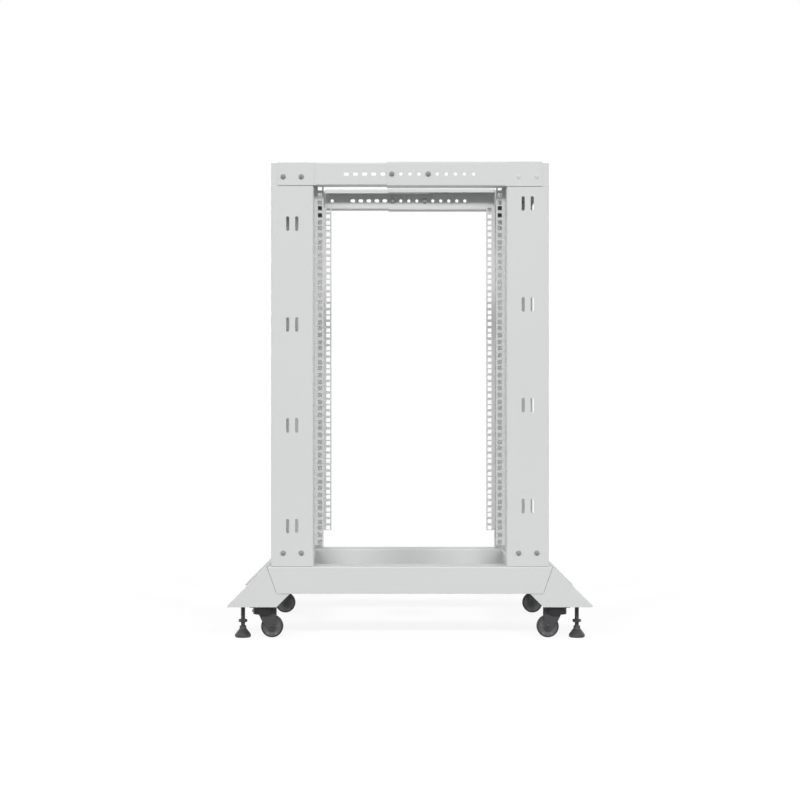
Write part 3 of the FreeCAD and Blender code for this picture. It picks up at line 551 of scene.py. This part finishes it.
def cageNutMesh(name, size, material):
    steps, depth, recess = size["steps"], size["depth"], size["recess"]
    rings = [
        circle(size["bore"], -depth + size["boreFloor"], steps),
        circle(size["bore"], -recess - size["boreEdge"], steps),
        circle(size["bore"] + size["boreChamfer"], -recess, steps),
        square(size["nose"] - size["noseEdge"], -recess, size),
        square(size["nose"], -recess - size["noseEdge"], size),
        square(size["nose"], -size["sheet"], size),
        square(size["cage"], -size["sheet"], size),
        square(size["cage"], -depth + size["cageEdge"], size),
        square(size["cage"] - size["cageEdge"], -depth, size),
    ]
    return ringMesh(name, rings, material)


cageNutShape = cageNutMesh("cageNut", cageNut, casterMetal)
for endName, end in ends.items():
    low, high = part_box(f"post_{endName}_right")
    column = end * (max(abs(low.x), abs(high.x)) - cageNut["inset"])
    for number, down in enumerate(cageNut["down"]):
        at = Vector((column, low.y + cageNut["flangeDepth"], high.z - down))
        place(f"cageNut_{endName}_right_{number}", cageNutShape, at, (0, -1, 0), "frame")
print("cage nuts set")


# Painted shadow: thin dark rods where the slanted ends of the base rails lie on the outriggers, standing in for the
# shadow in the joint gap

gapShadow = {"radius": 0.0008, "tip": 0.5, "slant": 0.0212, "reach": 0.9, "steps": 10}


def gapShadowMesh(name, length, material):
    rings = [circle(gapShadow["radius"] * gapShadow["tip"], -length / 2, gapShadow["steps"])]
    rings.append(circle(gapShadow["radius"], -length / 2 + gapShadow["radius"], gapShadow["steps"]))
    rings.append(circle(gapShadow["radius"], length / 2 - gapShadow["radius"], gapShadow["steps"]))
    rings.append(circle(gapShadow["radius"] * gapShadow["tip"], length / 2, gapShadow["steps"]))
    return ringMesh(name, rings, material, crease=70)


railLow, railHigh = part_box("base_rail_right")
gapShadowRun = Vector((gapShadow["slant"], 0, railHigh.z - railLow.z)) * gapShadow["reach"]
gapShadowShape = gapShadowMesh("gapShadowRod", gapShadowRun.length, gapShadowMaterial)
for endName, end, sideName, side in corners:
    plateLow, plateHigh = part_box(f"foot_bracket_{endName}_{sideName}")
    plateY = side * max(abs(plateLow.y), abs(plateHigh.y))
    at = Vector((end * (railHigh.x - gapShadow["slant"] / 2), plateY, (railHigh.z + railLow.z) / 2))
    place(f"gapShadow_{endName}_{sideName}", gapShadowShape, at, (end * gapShadowRun.x, 0, gapShadowRun.z), "frame")
print("joint beads laid")


# Levelling feet: threaded stem with its nut, on a round pad

stem = {"radius": 0.0050, "threadDepth": 0.0007, "pitch": 0.0015, "rings": 6, "steps": 30, "tip": 0.0008}
stemNut = {"flats": 0.0168, "height": 0.0066, "level": 0.0338, "edge": 0.0003, "rim": 0.0002, "steps": 48}
pad = {"socket": 0.0052, "hub": 0.0076, "hubTop": 0.026, "coneTop": 0.0185, "rim": 0.01785, "rimTop": 0.0075,
       "foot": 0.002, "round": 0.0012, "steps": 64}


def threadedStem(name, low, high, material):
    rings, steps = [], stem["steps"]
    count = round((high - low) / stem["pitch"] * stem["rings"])
    for k in range(count + 1):
        height = low + (high - low) * k / count
        taper = min(1.0, (high - height) / stem["tip"], (height - low) / stem["tip"])
        ring = []
        for j in range(steps):
            phase = (height / stem["pitch"] - j / steps) % 1.0
            groove = abs(2 * phase - 1) * stem["threadDepth"]
            radius = stem["radius"] - groove - (1 - taper) * stem["threadDepth"]
            ring.append(Vector((radius * math.cos(turn * j / steps), radius * math.sin(turn * j / steps), height)))
        rings.append(ring)
    return ringMesh(name, rings, material, crease=60)


def hexNut(name, size, bore, material):
    steps, rim = size["steps"], size["rim"]
    edge = size["flats"] / 2 - size["edge"]
    rings = [
        circle(bore, 0.0, steps),
        circle(edge, 0.0, steps),
        hexagon(size["flats"], rim, steps, cornerSlope),
        hexagon(size["flats"], size["height"] - rim, steps, -cornerSlope),
        circle(edge, size["height"], steps),
        circle(bore, size["height"], steps),
    ]
    return ringMesh(name, rings, material, looped=True)


def padProfile():
    small = pad["round"]
    bend = 3 * small
    profile = [(pad["rim"] - pad["foot"], 0.0), (pad["rim"], pad["foot"]), (pad["rim"], pad["rimTop"] - small)]
    profile += arc(pad["rim"] - small, pad["rimTop"] - small, small, 0, 60, 5)
    profile += arc(pad["hub"] + bend, pad["coneTop"] + 2 * small, bend, 240, 180, 5)
    profile += arc(pad["hub"] - small, pad["hubTop"] - small, small, 0, 90, 5)
    profile += [(pad["socket"], pad["hubTop"]), (pad["socket"], pad["coneTop"])]
    return profile


stemLow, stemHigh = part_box("levelling_stem_front_right")
stemMesh = threadedStem("threadedStem", stemLow.z, stemHigh.z, footSteel)
stemNutMesh = hexNut("stemNut", stemNut, stem["radius"] - stem["threadDepth"], footSteel)
padMesh = revolve("footPad", padProfile(), pad["steps"], footPlastic)
for endName, end, sideName, side in corners:
    corner = f"{endName}_{sideName}"
    low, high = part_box(f"levelling_stem_{corner}")
    axis = Vector(((low.x + high.x) / 2, (low.y + high.y) / 2, 0))
    body = f"foot_{corner}"
    rod = place(f"stem_{corner}", stemMesh, axis, up, body)
    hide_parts(f"levelling_stem_{corner}")
    place(f"stemNut_{corner}", stemNutMesh, axis + up * stemNut["level"], up, body, math.pi / 6)
    base = place(f"footPad_{corner}", padMesh, axis, up, body)
    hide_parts(f"levelling_pad_{corner}")
print("levelling feet set")


# Casters: wheels with a rubber tyre on a ribbed hub, and a nut at each end of the axle

wheelLow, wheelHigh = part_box("caster_wheel_front_right")
wheel = {
    "radius": (wheelHigh.z - wheelLow.z) / 2, "width": wheelHigh.y - wheelLow.y, "steps": 72,
    "tyreInner": 0.0211, "tyreEdge": 0.0006, "shoulder": 0.0030,
    "groove": 0.0005, "grooveAt": (-0.003, 0.003), "grooveTop": 0.0005, "grooveFloor": 0.0003,
    "hubInset": 0.0004, "hubRecess": 0.0010, "hubSlope": 0.0008, "bossRadius": 0.0090, "rimRadius": 0.0192,
    "bore": 0.0031, "ribs": 6, "ribFrom": 0.72, "ribSpan": 0.28, "ribSteep": 1.6, "ribHeight": 0.4,
}
# out: from the middle of the wheel to the outside of a fork leg
axleNut = {
    "flats": 0.0092, "height": 0.0034, "edge": 0.0003, "rim": 0.0002, "bore": 0.0029, "out": 0.015, "steps": 36,
}


def tyreProfile():
    half, shoulder, radius = wheel["width"] / 2, wheel["shoulder"], wheel["radius"]
    inner, edge, bottom = wheel["tyreInner"], wheel["tyreEdge"], wheel["radius"] - wheel["groove"]
    outer = [(inner, -half + edge), (inner + edge, -half)]
    outer += arc(radius - shoulder, -half + shoulder, shoulder, -90, 0, 7)
    for centre in wheel["grooveAt"]:
        outer += [(radius, centre - wheel["grooveTop"]), (bottom, centre - wheel["grooveFloor"])]
        outer += [(bottom, centre + wheel["grooveFloor"]), (radius, centre + wheel["grooveTop"])]
    outer += arc(radius - shoulder, half - shoulder, shoulder, 0, 90, 7)
    outer += [(inner + edge, half), (inner, half - edge)]
    return outer


def hubMesh(name, material):
    # dished on both faces, with a raised boss and ribs out to the rim
    half, steps = wheel["width"] / 2 - wheel["hubInset"], wheel["steps"]
    deep = half - wheel["hubRecess"]
    boss, rim, slope = wheel["bossRadius"], wheel["rimRadius"], wheel["hubSlope"]
    # radius, height and share of the rib's height
    stations = [
        (wheel["bore"], half, 0.0), (boss, half, 0.0), (boss + slope, deep, 1.0), ((boss + rim) / 2, deep, 1.0),
        (rim - slope, deep, 1.0), (rim, half, 0.0), (wheel["tyreInner"], half, 0.0),
    ]

    def ring(radius, height, ribbed, mirror):
        points = []
        for k in range(steps):
            angle = turn * k / steps
            crest = max(0.0, math.cos(angle * wheel["ribs"]) - wheel["ribFrom"]) / wheel["ribSpan"]
            lift = ribbed * min(1.0, crest * wheel["ribSteep"]) * wheel["hubRecess"] * wheel["ribHeight"]
            points.append(Vector((radius * math.cos(angle), radius * math.sin(angle), mirror * (height + lift))))
        return points

    rings = [ring(*station, 1) for station in stations]
    rings += [ring(*station, -1) for station in reversed(stations)]
    return ringMesh(name, rings, material, looped=True, crease=40)


tyreMesh = revolve("casterTyre", tyreProfile(), wheel["steps"], tyreRubber, looped=True)
hubShape = hubMesh("casterHub", hubNylon)
axleNutMesh = hexNut("axleNut", axleNut, axleNut["bore"], casterMetal)
for endName, end, sideName, side in corners:
    corner = f"{endName}_{sideName}"
    low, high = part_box(f"caster_wheel_{corner}")
    centre = (low + high) / 2
    tyre = place(f"tyre_{corner}", tyreMesh, centre, (0, side, 0), f"wheel_{corner}")
    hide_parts(f"caster_wheel_{corner}")
    place(f"hub_{corner}", hubShape, centre, (0, side, 0), f"wheel_{corner}")
    for label, way in (("near", 1), ("far", -1)):
        face = centre + Vector((0, side * way * axleNut["out"], 0))
        place(f"axleNut_{label}_{corner}", axleNutMesh, face, (0, side * way, 0), f"swivel_{corner}")
print("casters set")


# Floor, light and camera

def seenDirectly(tree):
    # 1 for rays from the camera, and for those that come off metal or through glass
    rays = tree.nodes.new("ShaderNodeLightPath")
    some = math2(tree, "MAXIMUM", rays.outputs["Is Camera Ray"], rays.outputs["Is Glossy Ray"])
    return math2(tree, "MAXIMUM", some, rays.outputs["Is Transmission Ray"])


def makeFloor():
    look = {"span": 14.0, "glow": 0.85, "seenShade": 0.20, "bounceShade": 0.45}
    half = look["span"] / 2
    mesh = bpy.data.meshes.new("floor")
    mesh.from_pydata([(-half, -half, 0), (half, -half, 0), (half, half, 0), (-half, half, 0)], [], [(0, 1, 2, 3)])
    floor = bpy.data.objects.new("floor", mesh)
    bpy.context.scene.collection.objects.link(floor)
    material = bpy.data.materials.new("paleFloor")
    material.use_nodes = True
    tree = material.node_tree
    tree.nodes.clear()
    seen = tree.nodes.new("ShaderNodeBsdfDiffuse")
    seen.inputs["Color"].default_value = (look["seenShade"],) * 3 + (1,)
    glow = tree.nodes.new("ShaderNodeEmission")
    glow.inputs["Strength"].default_value = look["glow"]
    both = tree.nodes.new("ShaderNodeAddShader")
    bounced = tree.nodes.new("ShaderNodeBsdfDiffuse")
    bounced.inputs["Color"].default_value = (look["bounceShade"],) * 3 + (1,)
    choose = tree.nodes.new("ShaderNodeMixShader")
    output = tree.nodes.new("ShaderNodeOutputMaterial")
    tree.links.new(seen.outputs[0], both.inputs[0])
    tree.links.new(glow.outputs[0], both.inputs[1])
    tree.links.new(seenDirectly(tree), choose.inputs[0])
    tree.links.new(bounced.outputs[0], choose.inputs[1])
    tree.links.new(both.outputs[0], choose.inputs[2])
    tree.links.new(choose.outputs[0], output.inputs["Surface"])
    mesh.materials.append(material)


def makeWorld():
    look = {"backdrop": 1.0, "ambient": 0.20}
    world = bpy.data.worlds.new("paleWorld")
    bpy.context.scene.world = world
    world.use_nodes = True
    tree = world.node_tree
    tree.nodes.clear()
    backdrop = tree.nodes.new("ShaderNodeBackground")
    backdrop.inputs["Color"].default_value = (1, 1, 1, 1)
    backdrop.inputs["Strength"].default_value = look["backdrop"]
    ambient = tree.nodes.new("ShaderNodeBackground")
    ambient.inputs["Color"].default_value = (1, 1, 1, 1)
    ambient.inputs["Strength"].default_value = look["ambient"]
    choose = tree.nodes.new("ShaderNodeMixShader")
    output = tree.nodes.new("ShaderNodeOutputWorld")
    tree.links.new(seenDirectly(tree), choose.inputs[0])
    tree.links.new(ambient.outputs[0], choose.inputs[1])
    tree.links.new(backdrop.outputs[0], choose.inputs[2])
    tree.links.new(choose.outputs[0], output.inputs["Surface"])


# A wide strip in front of the rack: how far across each lamp stands, and its strength
frontLights = {
    "slope": 0.62, "spread": 10,
    "lamps": ((-1.2, 0.35), (-0.5, 0.52), (0.0, 1.28), (0.5, 0.52), (1.2, 0.35)),
}
lowLights = {
    "leftLight": {"towards": (-1.0, -0.1, 0.1), "strength": 0.5, "spread": 80},
    "rightLight": {"towards": (1.0, -0.1, 0.1), "strength": 0.5, "spread": 80},
    "backLeftLight": {"towards": (-0.7, 1.0, 0.08), "strength": 0.85, "spread": 40},
    "backRightLight": {"towards": (0.7, 1.0, 0.08), "strength": 0.85, "spread": 40},
}


def softSun(name, towards, strength, spread):
    lamp = bpy.data.lights.new(name, "SUN")
    lamp.energy = strength
    lamp.angle = math.radians(spread)
    holder = bpy.data.objects.new(name, lamp)
    holder.rotation_euler = Vector(towards).to_track_quat("Z", "Y").to_euler()
    bpy.context.scene.collection.objects.link(holder)


def makeCamera():
    view = {"place": (-0.022, -4.339, 0.527), "lens": 83.0, "sensor": 36.0}
    data = bpy.data.cameras.new("sideView")
    data.lens = view["lens"]
    data.sensor_width = view["sensor"]
    camera = bpy.data.objects.new("sideView", data)
    camera.location = view["place"]
    camera.rotation_euler = (math.pi / 2, 0, 0)
    bpy.context.scene.collection.objects.link(camera)
    bpy.context.scene.camera = camera


makeFloor()
makeWorld()
for number, (across, strength) in enumerate(frontLights["lamps"]):
    softSun(f"frontLight_{number}", (across, -1.0, frontLights["slope"]), strength, frontLights["spread"])
for name, light in lowLights.items():
    softSun(name, light["towards"], light["strength"], light["spread"])
makeCamera()
bpy.context.scene.view_settings.view_transform = "Standard"
print("floor, light and camera set")
